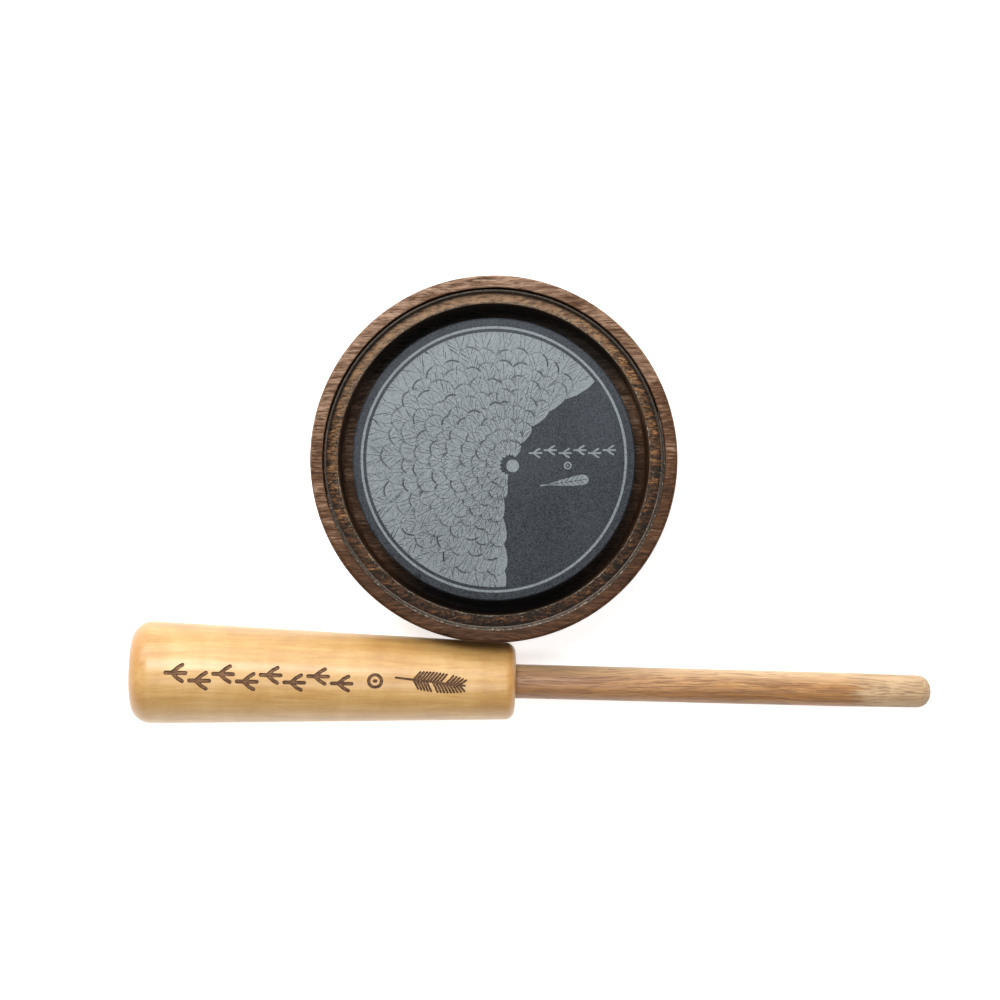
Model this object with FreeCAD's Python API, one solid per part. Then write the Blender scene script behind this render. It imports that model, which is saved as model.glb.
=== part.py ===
"""A round turkey pot call and its striker, in millimetres.

The pot is turned from walnut. Its base stands on the table at z = 0, and the origin is the centre of that
base. A clear glass playing surface is glued on a ledge inside the rim. Below it an engraved slate sound board
is glued on a short pedestal, and the chamber under both breathes through the sound holes in the floor. The
striker is a loose piece: a tapered maple handle with a hickory peg glued in its bore. It lies on the table in
front of the pot, along X, with its handle's whole side touching the table.
"""

import FreeCAD, Part

import math
import os

V = FreeCAD.Vector

# ---- driving dimensions: the pot ----
POT_RADIUS = 44.45          # a pot 3 1/2 inches across
POT_HEIGHT = 22.0
RIM_ROUND = 0.9             # eased outer edge of the rim's land
LAND_CHAMFER = 0.25         # eased inner edge of the land
FOOT_RADIUS = 43.2
FOOT_ROUND = 2.4
GROOVE_BOTTOM = 5.4         # the finger groove's low edge, deepest point and high edge
GROOVE_MIDDLE = 9.1
GROOVE_TOP = 13.8
GROOVE_RADIUS = 42.0        # radius left at the groove's deepest point
FLOOR_THICKNESS = 4.8
CAVITY_RADIUS = 37.8
CAVITY_ROUND = 1.0          # tool radius left in the corner of the cavity's floor
LEDGE_CHAMFER = 0.2

# ---- driving dimensions: what the pot holds ----
GLASS_RADIUS = 41.1
GLASS_THICKNESS = 3.0
GLASS_ARRIS = 0.7           # ground edge, above and below
GLASS_RECESS = 0.4          # how far the glass lies below the land
SEAT_GAP = 0.35             # between the glass's edge and the rim
GLUE = 0.2                  # thickness of the glue under the glass and under the sound board
BOARD_RADIUS = 34.5
BOARD_THICKNESS = 3.0
BOARD_CHAMFER = 0.3
CHAMBER_GAP = 3.1           # between the glass and the sound board
PEDESTAL_RADIUS = 12.7
PEDESTAL_CHAMFER = 0.5
SOCKET_DEPTH = 1.5          # the pedestal's socket in the floor
SOCKET_GAP = 0.1
PEDESTAL_GLUE = 0.15

# ---- driving dimensions: sound holes in the floor ----
HOLE_COUNT = 6
HOLE_RADIUS = 4.0
HOLE_CIRCLE = 25.0          # radius of the circle that the holes stand on
HOLE_EASE = 0.6             # eased edge on the underside
DRILL_OVERRUN = 1.0         # how far the drill runs past each face of the floor

# ---- driving dimensions: the striker ----
HANDLE_LENGTH = 94.0
HANDLE_BACK_RADIUS = 12.7
HANDLE_FRONT_RADIUS = 9.4
HANDLE_BACK_ROUND = 5.0
HANDLE_FRONT_ROUND = 2.4
PEG_RADIUS = 4.2
PEG_EXPOSED = 103.2
PEG_TIP_LENGTH = 22.0       # the bare end, sanded a little thinner for playing
PEG_TIP_RADIUS = 3.95
PEG_TIP_ROUND = 3.3
PEG_CHAMFER = 0.5
BORE_DEPTH = 32.0
BORE_GLUE = 0.15            # glue between the peg and its bore
BORE_END_GLUE = 0.5
DRILL_POINT = 59.0          # half the drill's point angle, in degrees

# ---- driving dimensions: how the striker lies beside the pot ----
STRIKER_YAW = -1.6          # degrees about +Z
STRIKER_BACK_X = -88.8
STRIKER_GAP = 0.4           # between the handle's side and the pot's rim, seen from above

# ---- worked out ----
SEAT_RADIUS = GLASS_RADIUS + SEAT_GAP
GLASS_TOP = POT_HEIGHT - GLASS_RECESS
GLASS_BOTTOM = GLASS_TOP - GLASS_THICKNESS
LEDGE = GLASS_BOTTOM - GLUE
BOARD_TOP = GLASS_BOTTOM - CHAMBER_GAP
BOARD_BOTTOM = BOARD_TOP - BOARD_THICKNESS
PEDESTAL_TOP = BOARD_BOTTOM - GLUE
SOCKET_FLOOR = FLOOR_THICKNESS - SOCKET_DEPTH
TAPER = (HANDLE_BACK_RADIUS - HANDLE_FRONT_RADIUS) / HANDLE_LENGTH
STRIKER_LENGTH = HANDLE_LENGTH + PEG_EXPOSED
BORE_START = HANDLE_LENGTH - BORE_DEPTH
BORE_RADIUS = PEG_RADIUS + BORE_GLUE
PEG_START = BORE_START + BORE_END_GLUE


def xz(points):
    """Points (across, up) as vectors in the XZ plane."""
    return [V(a, 0, b) for a, b in points]


def revolved(edges, axis):
    """The solid that a closed chain of edges in the XZ plane makes in a full turn about axis."""
    face = Part.Face(Part.Wire(edges))
    solid = face.revolve(V(0, 0, 0), axis, 360)
    return solid if solid.ShapeType == "Solid" else Part.makeSolid(solid)


def chain(*steps):
    """Edges through the steps in order, closed back to the first point. A step is a point, or a pair of
    points: the middle and the end of an arc."""
    first = xz([steps[0]])[0]
    here, edges = first, []
    for step in steps[1:]:
        if isinstance(step[0], tuple):
            middle, end = xz(step)
            edges.append(Part.Arc(here, middle, end).toShape())
        else:
            end = xz([step])[0]
            edges.append(Part.LineSegment(here, end).toShape())
        here = end
    edges.append(Part.LineSegment(here, first).toShape())
    return edges


def on_arc(centre, radius, degrees):
    """The point of a circle in the XZ plane at an angle from the first axis."""
    a = math.radians(degrees)
    return (centre[0] + radius * math.cos(a), centre[1] + radius * math.sin(a))


def corner(centre, radius, start, end):
    """The two points of an arc's step: halfway between two angles, and the end."""
    return (on_arc(centre, radius, (start + end) / 2), on_arc(centre, radius, end))


def side_radius(along):
    """Radius of the handle's tapered side, at a distance from the handle's back."""
    return HANDLE_BACK_RADIUS - TAPER * along


def end_round(along, radius):
    """Centre, at a distance from the back, of the arc that rounds an end and touches the tapered side."""
    return (along, side_radius(along) - radius / math.cos(math.atan(TAPER)))


def disc(radius, bottom, top, chamfer=0.0, hole=0.0):
    """A round plate about Z, with both outer edges chamfered."""
    steps = [(hole, bottom), (radius - chamfer, bottom)]
    if chamfer:
        steps += [(radius, bottom + chamfer), (radius, top - chamfer)]
    steps += [(radius - chamfer, top), (hole, top)]
    return revolved(chain(*steps), V(0, 0, 1))


# ---- the pot ----

def pot_body():
    """The turned pot: foot, finger groove, rim, seat for the glass, cavity and the pedestal's socket."""
    foot = (FOOT_RADIUS - FOOT_ROUND, FOOT_ROUND)
    rim = (POT_RADIUS - RIM_ROUND, POT_HEIGHT - RIM_ROUND)
    cavity = (CAVITY_RADIUS - CAVITY_ROUND, FLOOR_THICKNESS + CAVITY_ROUND)
    socket = PEDESTAL_RADIUS + SOCKET_GAP
    steps = [
        (0, 0),
        (foot[0], 0),
        corner(foot, FOOT_ROUND, -90, 0),
        (FOOT_RADIUS, GROOVE_BOTTOM),
        ((GROOVE_RADIUS, GROOVE_MIDDLE), (POT_RADIUS, GROOVE_TOP)),
        (POT_RADIUS, rim[1]),
        corner(rim, RIM_ROUND, 0, 90),
        (SEAT_RADIUS + LAND_CHAMFER, POT_HEIGHT),
        (SEAT_RADIUS, POT_HEIGHT - LAND_CHAMFER),
        (SEAT_RADIUS, LEDGE),
        (CAVITY_RADIUS + LEDGE_CHAMFER, LEDGE),
        (CAVITY_RADIUS, LEDGE - LEDGE_CHAMFER),
        (CAVITY_RADIUS, cavity[1]),
        corner(cavity, CAVITY_ROUND, 0, -90),
        (socket, FLOOR_THICKNESS),
        (socket, SOCKET_FLOOR),
        (0, SOCKET_FLOOR),
    ]
    body = revolved(chain(*steps), V(0, 0, 1))
    return body.cut(Part.makeCompound(sound_holes()))


def sound_holes():
    """The tools that drill the floor's holes and ease their lower edges."""
    tools = []
    for i in range(HOLE_COUNT):
        a = math.radians(360 / HOLE_COUNT * (i + 0.5))
        at = V(HOLE_CIRCLE * math.cos(a), HOLE_CIRCLE * math.sin(a), 0)
        start = at - V(0, 0, DRILL_OVERRUN)
        drill = Part.makeCylinder(HOLE_RADIUS, FLOOR_THICKNESS + 2 * DRILL_OVERRUN, start)
        ease = Part.makeCone(HOLE_RADIUS + HOLE_EASE, HOLE_RADIUS, HOLE_EASE, at)
        tools.append(drill.fuse(ease))
    return tools


def pedestal():
    """The post that carries the sound board."""
    return disc(PEDESTAL_RADIUS, SOCKET_FLOOR + PEDESTAL_GLUE, PEDESTAL_TOP, PEDESTAL_CHAMFER)


def pedestal_adhesive():
    """Glue under the pedestal, inside its socket."""
    return disc(PEDESTAL_RADIUS, SOCKET_FLOOR, SOCKET_FLOOR + PEDESTAL_GLUE)


def sound_board():
    """The slate disc under the glass."""
    return disc(BOARD_RADIUS, BOARD_BOTTOM, BOARD_TOP, BOARD_CHAMFER)


def sound_board_adhesive():
    """Glue between the pedestal and the sound board."""
    return disc(PEDESTAL_RADIUS - 2 * PEDESTAL_CHAMFER, PEDESTAL_TOP, BOARD_BOTTOM)


def playing_surface():
    """The glass disc that the striker's tip is drawn over."""
    return disc(GLASS_RADIUS, GLASS_BOTTOM, GLASS_TOP, GLASS_ARRIS)


def surface_adhesive_ring():
    """Glue between the ledge and the glass."""
    outer = GLASS_RADIUS - GLASS_ARRIS
    return disc(outer, LEDGE, GLASS_BOTTOM, hole=CAVITY_RADIUS + LEDGE_CHAMFER)


# ---- the striker, along +X from the back of its handle ----

def striker_handle():
    """The tapered handle, rounded at both ends, with a blind bore for the peg."""
    back = end_round(HANDLE_BACK_ROUND, HANDLE_BACK_ROUND)
    front = end_round(HANDLE_LENGTH - HANDLE_FRONT_ROUND, HANDLE_FRONT_ROUND)
    lean = 90 - math.degrees(math.atan(TAPER))
    point = BORE_START - BORE_RADIUS / math.tan(math.radians(DRILL_POINT))
    steps = [
        (0, 0),
        (0, back[1]),
        corner(back, HANDLE_BACK_ROUND, 180, lean),
        on_arc(front, HANDLE_FRONT_ROUND, lean),
        corner(front, HANDLE_FRONT_ROUND, lean, 0),
        (HANDLE_LENGTH, BORE_RADIUS),
        (BORE_START, BORE_RADIUS),
        (point, 0),
    ]
    return revolved(chain(*steps), V(1, 0, 0))


def striker_peg():
    """The round peg, its last stretch sanded a little thinner, with a rounded tip for playing."""
    tip = (STRIKER_LENGTH - PEG_TIP_ROUND, PEG_TIP_RADIUS - PEG_TIP_ROUND)
    steps = [
        (PEG_START, 0),
        (PEG_START, PEG_RADIUS - PEG_CHAMFER),
        (PEG_START + PEG_CHAMFER, PEG_RADIUS),
        (STRIKER_LENGTH - PEG_TIP_LENGTH, PEG_RADIUS),
        (tip[0], PEG_TIP_RADIUS),
        corner(tip, PEG_TIP_ROUND, 90, 0),
        (STRIKER_LENGTH, 0),
    ]
    return revolved(chain(*steps), V(1, 0, 0))


def peg_adhesive():
    """Glue round the peg and at the bottom of its bore."""
    mouth = HANDLE_LENGTH - PEG_CHAMFER
    steps = [
        (BORE_START, 0),
        (BORE_START, BORE_RADIUS),
        (mouth, BORE_RADIUS),
        (mouth, PEG_RADIUS),
        (PEG_START + PEG_CHAMFER, PEG_RADIUS),
        (PEG_START, PEG_RADIUS - PEG_CHAMFER),
        (PEG_START, 0),
    ]
    return revolved(chain(*steps), V(1, 0, 0))


def striker_placement():
    """Where the striker lies: tipped nose down by its taper, so that its side is flat on the table, turned
    by its yaw, and moved out until the handle just clears the pot."""
    taper_angle = math.degrees(math.atan(TAPER))
    yaw = math.radians(STRIKER_YAW)
    beside_rim = -STRIKER_BACK_X - POT_RADIUS * math.sin(yaw + math.atan(TAPER))
    axis_at_pot = -(POT_RADIUS + side_radius(beside_rim) + STRIKER_GAP) / math.cos(yaw)
    back_y = axis_at_pot + STRIKER_BACK_X * math.tan(yaw)
    back_z = HANDLE_BACK_RADIUS * math.cos(math.atan(TAPER))
    turn = FreeCAD.Rotation(V(0, 0, 1), STRIKER_YAW).multiply(FreeCAD.Rotation(V(0, 1, 0), taper_angle))
    return FreeCAD.Placement(V(STRIKER_BACK_X, back_y, back_z), turn)


def main():
    os.makedirs("parts", exist_ok=True)
    pot = [
        pot_body,
        pedestal,
        pedestal_adhesive,
        sound_board,
        sound_board_adhesive,
        playing_surface,
        surface_adhesive_ring,
    ]
    striker = [striker_handle, striker_peg, peg_adhesive]
    place = striker_placement()
    for make in pot + striker:
        shape = make()
        if make in striker:
            shape = shape.copy()
            shape.Placement = place
        shape.exportStep(f"parts/{make.__name__}.step")
        box = shape.BoundBox
        print(f"{make.__name__}: valid {shape.isValid()}, {len(shape.Solids)} solid, {shape.Volume:.1f} mm3,",
              f"x {box.XMin:.2f}..{box.XMax:.2f}, y {box.YMin:.2f}..{box.YMax:.2f},",
              f"z {box.ZMin:.3f}..{box.ZMax:.3f}")


main()
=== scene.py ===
"""The looks of a turned walnut pot call and its striker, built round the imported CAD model.

Everything is in the CAD's frame, and lengths are in millimetres unless a comment says otherwise. Pieces that
stand for a CAD node take its sizes and are checked against its box.
"""

import math
import random

import bmesh
import bpy
from mathutils import Matrix, Vector, noise
from mathutils.geometry import delaunay_2d_cdt


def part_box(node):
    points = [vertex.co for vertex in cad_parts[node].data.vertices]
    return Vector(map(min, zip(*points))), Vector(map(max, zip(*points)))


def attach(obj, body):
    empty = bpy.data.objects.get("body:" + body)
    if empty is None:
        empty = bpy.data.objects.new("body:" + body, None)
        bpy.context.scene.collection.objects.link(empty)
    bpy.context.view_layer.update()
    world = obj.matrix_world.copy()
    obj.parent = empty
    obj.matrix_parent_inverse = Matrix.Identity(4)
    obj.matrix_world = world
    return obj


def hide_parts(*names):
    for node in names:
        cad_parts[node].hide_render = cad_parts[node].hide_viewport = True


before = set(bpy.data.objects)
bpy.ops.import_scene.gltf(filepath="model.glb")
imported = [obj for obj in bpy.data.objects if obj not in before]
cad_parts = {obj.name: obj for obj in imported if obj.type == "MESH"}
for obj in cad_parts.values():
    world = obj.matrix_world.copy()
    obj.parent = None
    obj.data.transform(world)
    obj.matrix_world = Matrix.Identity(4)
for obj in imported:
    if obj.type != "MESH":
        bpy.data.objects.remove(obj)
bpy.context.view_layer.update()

MM = 0.001
TAU = 2 * math.pi

# ---- the CAD's sizes ----
POT_RADIUS = 44.45
POT_HEIGHT = 22.0
FOOT_RADIUS = 43.2
GROOVE_LOW = 5.4
GROOVE_MIDDLE = (42.0, 9.1)     # radius and height where the finger groove is deepest
GROOVE_HIGH = 13.8
SEAT_RADIUS = 41.45
LEDGE = 18.4
CAVITY_RADIUS = 37.8
CAVITY_FLOOR = 4.8
SOCKET_RADIUS = 12.8
SOCKET_FLOOR = 3.3
HOLE_RADIUS = 4.0
HOLE_CIRCLE = 25.0
HOLES = 6
GLASS_BOTTOM = 18.6
GLASS_TOP = 21.6
BOARD_RADIUS = 34.5
BOARD_BOTTOM = 12.5
BOARD_TOP = 15.5
HANDLE_LENGTH = 94.0
HANDLE_BACK_RADIUS = 12.7
HANDLE_FRONT_RADIUS = 9.4
PEG_RADIUS = 4.2
PEG_EXPOSED = 103.2
PEG_TIP_LENGTH = 22.0
PEG_TIP_RADIUS = 3.95
BORE_START = 62.0
BORE_RADIUS = 4.35
STRIKER_YAW = math.radians(-1.6)
STRIKER_BACK_X = -88.8
STRIKER_GAP = 0.4
TAPER = (HANDLE_BACK_RADIUS - HANDLE_FRONT_RADIUS) / HANDLE_LENGTH
STRIKER_LENGTH = HANDLE_LENGTH + PEG_EXPOSED

# ---- sizes of the visual model alone, in millimetres ----
GLASS_EDGE = 41.02              # the disc's radius: 0.08 less than the CAD's, as the gap round it shows
RING_OUTSIDE = 32.47            # the ring engraved round the board
RING_INSIDE = 31.87
FIELD_RADIUS = 31.1             # the board's artwork ends here
FEATHER_REACH = 32.2
MARK_DEPTH = 0.32               # how deep the handle's marks are burnt
MARK_WALL = 0.16                # how far each mark's wall slopes in
SMALLEST = 0.002                # points closer than this are one

# ---- how finely things are divided ----
POT_SEGMENTS = 300
BOARD_SEGMENTS = 240
HANDLE_SEGMENTS = 220
PEG_SEGMENTS = 96
HOLE_SEGMENTS = 64
BEAD_SECTIONS = 900
GAP_SECTIONS = 360
GLUE_DROPS = 220
SHARP = 32                      # edges that bend by more degrees than this look sharp

# ---- directions in the XY plane, in degrees ----
BACK = 90
FRONT = 270
LIT_SIDE = 104                 # the side the lamps light most; painted sheen on the wood lies towards it
# where the ledge is painted paler at its back, as the lamps' light
LEDGE_LIT_SIDE = 103
# where the board is painted a little paler, as the lamps' sheen
BOARD_LIT_SIDE = 88
GLUE_REACH = 92                 # how far the squeezed-out glue goes to either hand

# the near-black of painted shadow in the pot's cavity and beside the glass
SHADOW_BLACK = (0.004, 0.003, 0.002, 1)


# ---- mesh helpers ----

def rounded(corners, steps):
    """A profile through corners (across, up, radius), with each corner rounded to its radius."""
    points = []
    for i, (a, b, radius) in enumerate(corners):
        if not radius or i in (0, len(corners) - 1):
            points.append((a, b))
            continue
        here = Vector((a, b))
        back = (Vector(corners[i - 1][:2]) - here).normalized()
        on = (Vector(corners[i + 1][:2]) - here).normalized()
        half = back.angle(on) / 2
        centre = here + (back + on).normalized() * radius / math.sin(half)
        first = here + back * radius / math.tan(half) - centre
        last = here + on * radius / math.tan(half) - centre
        turn = first.angle_signed(last)
        points += [tuple(centre + Matrix.Rotation(-turn * k / steps, 2) @ first)
                   for k in range(steps + 1)]
    return points


def divided(profile, step):
    """The profile with its long runs divided, so that no run is longer than step."""
    points = [profile[0]]
    for a, b in zip(profile, profile[1:]):
        n = max(1, math.ceil(math.dist(a, b) / step))
        points += [(a[0] + (b[0] - a[0]) * k / n, a[1] + (b[1] - a[1]) * k / n)
                   for k in range(1, n + 1)]
    return points


def arc_through(start, middle, end, steps):
    """Points of the circle's arc through three points, without the first."""
    (ax, ay), (bx, by), (cx, cy) = start, middle, end
    d = 2 * (ax * (by - cy) + bx * (cy - ay) + cx * (ay - by))
    sa, sb, sc = ax * ax + ay * ay, bx * bx + by * by, cx * cx + cy * cy
    x = (sa * (by - cy) + sb * (cy - ay) + sc * (ay - by)) / d
    y = (sa * (cx - bx) + sb * (ax - cx) + sc * (bx - ax)) / d
    radius = math.dist((x, y), start)
    first = math.atan2(ay - y, ax - x)
    turn = (math.atan2(cy - y, cx - x) - first + math.pi) % TAU - math.pi
    return [(x + radius * math.cos(first + turn * k / steps), y + radius * math.sin(first + turn * k / steps))
            for k in range(1, steps + 1)]


def lathe_faces(bm, profile, segments, place):
    """Turns a profile (radius, along) into faces of bm.

    place(radius, along, angle) gives a point in millimetres.
    """
    rows = []
    for radius, along in profile:
        if radius < 1e-6:
            rows.append([bm.verts.new(Vector(place(0, along, 0)) * MM)])
        else:
            rows.append([bm.verts.new(Vector(place(radius, along, TAU * k / segments)) * MM)
                         for k in range(segments)])
    for low, high in zip(rows, rows[1:]):
        for k in range(segments):
            n = (k + 1) % segments
            corners = [low[k % len(low)], low[n % len(low)], high[n % len(high)], high[k % len(high)]]
            corners = list(dict.fromkeys(corners))
            if len(corners) > 2:
                bm.faces.new(corners)


def join_sections(bm, rows):
    """Faces between each section, a closed row of vertices, and the next one."""
    for here, there in zip(rows, rows[1:]):
        for j in range(len(here)):
            n = (j + 1) % len(here)
            bm.faces.new([here[j], here[n], there[n], there[j]])


def about_z(radius, along, angle):
    return (radius * math.cos(angle), radius * math.sin(angle), along)


def about_x(radius, along, angle):
    return (along, radius * math.sin(angle), radius * math.cos(angle))


def shade(mesh, sharp=SHARP):
    """Shades the mesh smooth and keeps its sharp edges."""
    mesh.shade_smooth()
    mesh.set_sharp_from_angle(angle=math.radians(sharp))


def as_piece(name, bm, materials, sharp=SHARP):
    """An object from bm, shaded smooth with its sharp edges kept."""
    bmesh.ops.recalc_face_normals(bm, faces=bm.faces)
    mesh = bpy.data.meshes.new(name)
    bm.to_mesh(mesh)
    bm.free()
    for material in materials:
        mesh.materials.append(material)
    shade(mesh, sharp)
    piece = bpy.data.objects.new(name, mesh)
    bpy.context.scene.collection.objects.link(piece)
    return piece


def apply_modifiers(piece):
    """Puts what the piece's modifiers do into its mesh."""
    evaluated = piece.evaluated_get(bpy.context.evaluated_depsgraph_get())
    mesh = bpy.data.meshes.new_from_object(evaluated)
    piece.modifiers.clear()
    piece.data = mesh


def with_true_flats(piece):
    """Shades the piece's wide faces as truly flat and leaves the bend to the narrow ones beside them."""
    weighting = piece.modifiers.new("flats", "WEIGHTED_NORMAL")
    weighting.keep_sharp = True
    weighting.weight = 100
    apply_modifiers(piece)
    return piece


def mounted(piece, body, node):
    """The piece rides on its body and stands for a CAD node, whose own mesh is hidden."""
    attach(piece, body)
    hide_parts(node)


def check_box(piece, node, slack=0.15):
    """Stops the script if a piece isn't the size of its CAD node, within slack millimetres."""
    bpy.context.view_layer.update()
    corners = [piece.matrix_world @ v.co for v in piece.data.vertices]
    low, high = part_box(node)
    for axis in range(3):
        values = [c[axis] for c in corners]
        off = max(abs(min(values) - low[axis]), abs(max(values) - high[axis])) / MM
        if off > slack:
            raise ValueError(f"{piece.name} is {off:.2f} mm off {node} along axis {axis}")


# ---- node helpers ----

class Tree:
    """A new material and its nodes. Each method adds a node and returns its output."""

    def __init__(self, name):
        self.material = bpy.data.materials.new(name)
        self.material.use_nodes = True
        self.nodes = self.material.node_tree.nodes
        self.links = self.material.node_tree.links
        self.shader = self.nodes["Principled BSDF"]

    def add(self, kind, inputs, output=0, **settings):
        node = self.nodes.new(kind)
        for key, value in settings.items():
            setattr(node, key, value)
        for key, value in inputs.items():
            self.feed(node.inputs[key], value)
        return node.outputs[output]

    def feed(self, socket, value):
        if isinstance(value, bpy.types.NodeSocket):
            self.links.new(value, socket)
        else:
            socket.default_value = value

    def set(self, **values):
        for key, value in values.items():
            self.feed(self.shader.inputs[key.replace("_", " ")], value)

    def millimetres(self):
        """The point on the piece in its own frame, in millimetres."""
        point = self.add("ShaderNodeTexCoord", {}, output=3)
        return self.add("ShaderNodeVectorMath", {0: point, 3: 1 / MM}, operation="SCALE")

    def striker_millimetres(self):
        """The point along the striker from the back of its handle, in millimetres."""
        at, turn, _ = striker_place().decompose()
        return self.add("ShaderNodeMapping", {"Vector": self.millimetres(), "Location": at / MM,
                                              "Rotation": turn.to_euler()}, vector_type="TEXTURE")

    def stretched(self, point, scale, shift=(0, 0, 0)):
        return self.add("ShaderNodeMapping", {"Vector": point, "Scale": scale, "Location": shift})

    def noise(self, point, detail=3.0, rough=0.55, distortion=0.0):
        return self.add("ShaderNodeTexNoise",
                        {"Vector": point, "Scale": 1.0, "Detail": detail, "Roughness": rough,
                         "Distortion": distortion})

    def warped(self, point, scale, amount):
        """The point pushed about by a slow noise, by up to about this many millimetres."""
        push = self.add("ShaderNodeTexNoise",
                        {"Vector": self.stretched(point, scale), "Scale": 1.0, "Detail": 1.0}, output=1)
        centred = self.add("ShaderNodeVectorMath", {0: push, 1: (0.5, 0.5, 0.5)}, operation="SUBTRACT")
        step = self.add("ShaderNodeVectorMath", {0: centred, 3: 2 * amount}, operation="SCALE")
        return self.add("ShaderNodeVectorMath", {0: point, 1: step}, operation="ADD")

    def towards(self, point, degrees):
        """How far the point lies towards a direction in the XY plane, from -1 to 1 over the pot's width."""
        turn = math.radians(degrees)
        way = (math.cos(turn) / POT_RADIUS, math.sin(turn) / POT_RADIUS, 0)
        return self.add("ShaderNodeVectorMath", {0: point, 1: way}, output=1, operation="DOT_PRODUCT")

    def end_grain(self):
        """1 where the surface cuts across a blank's grain, which lies along X, and 0 where it follows it."""
        normal = self.add("ShaderNodeTexCoord", {}, "Normal")
        facing = self.maths("ABSOLUTE", self.axis(normal, 0))
        return self.between(facing, 0.35, 0.95, smooth=True)

    def radius(self, point):
        """The point's distance from the Z axis."""
        flat = self.add("ShaderNodeVectorMath", {0: point, 1: (1, 1, 0)}, operation="MULTIPLY")
        return self.add("ShaderNodeVectorMath", {0: flat}, output=1, operation="LENGTH")

    def between(self, value, low, high, to_low=0.0, to_high=1.0, smooth=False):
        kind = "SMOOTHSTEP" if smooth else "LINEAR"
        return self.add("ShaderNodeMapRange",
                        {"Value": value, "From Min": low, "From Max": high, "To Min": to_low,
                         "To Max": to_high}, interpolation_type=kind)

    def maths(self, operation, a, b=0.0):
        return self.add("ShaderNodeMath", {0: a, 1: b}, operation=operation)

    def mix(self, factor, a, b):
        return self.add("ShaderNodeMix", {0: factor, 6: a, 7: b}, output=2, data_type="RGBA")

    def ramp(self, value, dark, pale, between=()):
        """A colour from dark at 0 to pale at 1, through the (position, colour) pairs between."""
        output = self.add("ShaderNodeValToRGB", {"Fac": value})
        elements = output.node.color_ramp.elements
        elements[0].color = (*dark, 1)
        elements[1].color = (*pale, 1)
        for position, colour in between:
            elements.new(position).color = (*colour, 1)
        return output

    def axis(self, point, index):
        return self.add("ShaderNodeSeparateXYZ", {0: point}, output=index)

    def bump(self, height, depth_mm, after=None):
        inputs = {"Height": height, "Strength": 1.0, "Distance": depth_mm * MM}
        if after is not None:
            inputs["Normal"] = after
        return self.add("ShaderNodeBump", inputs)


# ---- materials ----

def turning_rings(tree, point, spacing):
    """Fine rings that a turning tool leaves, from 0 to 1, about the Z axis."""
    along = tree.maths("ADD", tree.radius(point), tree.axis(point, 2))
    wander = tree.noise(tree.stretched(point, (0.12, 0.12, 0.12)), detail=2.0)
    phase = tree.maths("MULTIPLY_ADD", wander, 1.6)
    tree.feed(phase.node.inputs[2], along)
    wave = tree.maths("SINE", tree.maths("MULTIPLY", phase, TAU / spacing))
    return tree.between(wave, -1.0, 1.0)


def grain(tree, point, along, across, seed, pore_edge=0.56):
    """Wood along X: (broad tone, growth bands, streaks, pores), each from 0 to 1.

    The streaks' counts to a millimetre are along and across.
    """
    shift = (seed, seed * 1.7, seed * 0.6)
    bent = tree.warped(point, (0.03, 0.05, 0.05), 2.4)
    tone = tree.noise(tree.stretched(bent, (0.018, 0.06, 0.06), shift), detail=3.0)
    bands = tree.noise(tree.stretched(bent, (0.014, 0.60, 0.60), shift), detail=4.0, rough=0.6)
    streaks = tree.noise(tree.stretched(bent, (along, across, across), shift), detail=4.0, rough=0.68)
    short = (along * 1.7, across * 2.1, across * 2.1)
    dashes = tree.noise(tree.stretched(bent, short, shift), detail=1.0, rough=0.4)
    pores = tree.between(dashes, pore_edge, pore_edge + 0.10, smooth=True)
    return tone, bands, streaks, pores


def weighed(tree, parts):
    """The sum of values, each times its weight."""
    total = 0.0
    for value, weight in parts:
        node = tree.maths("MULTIPLY_ADD", value, weight)
        tree.feed(node.node.inputs[2], total)
        total = node
    return total


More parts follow.
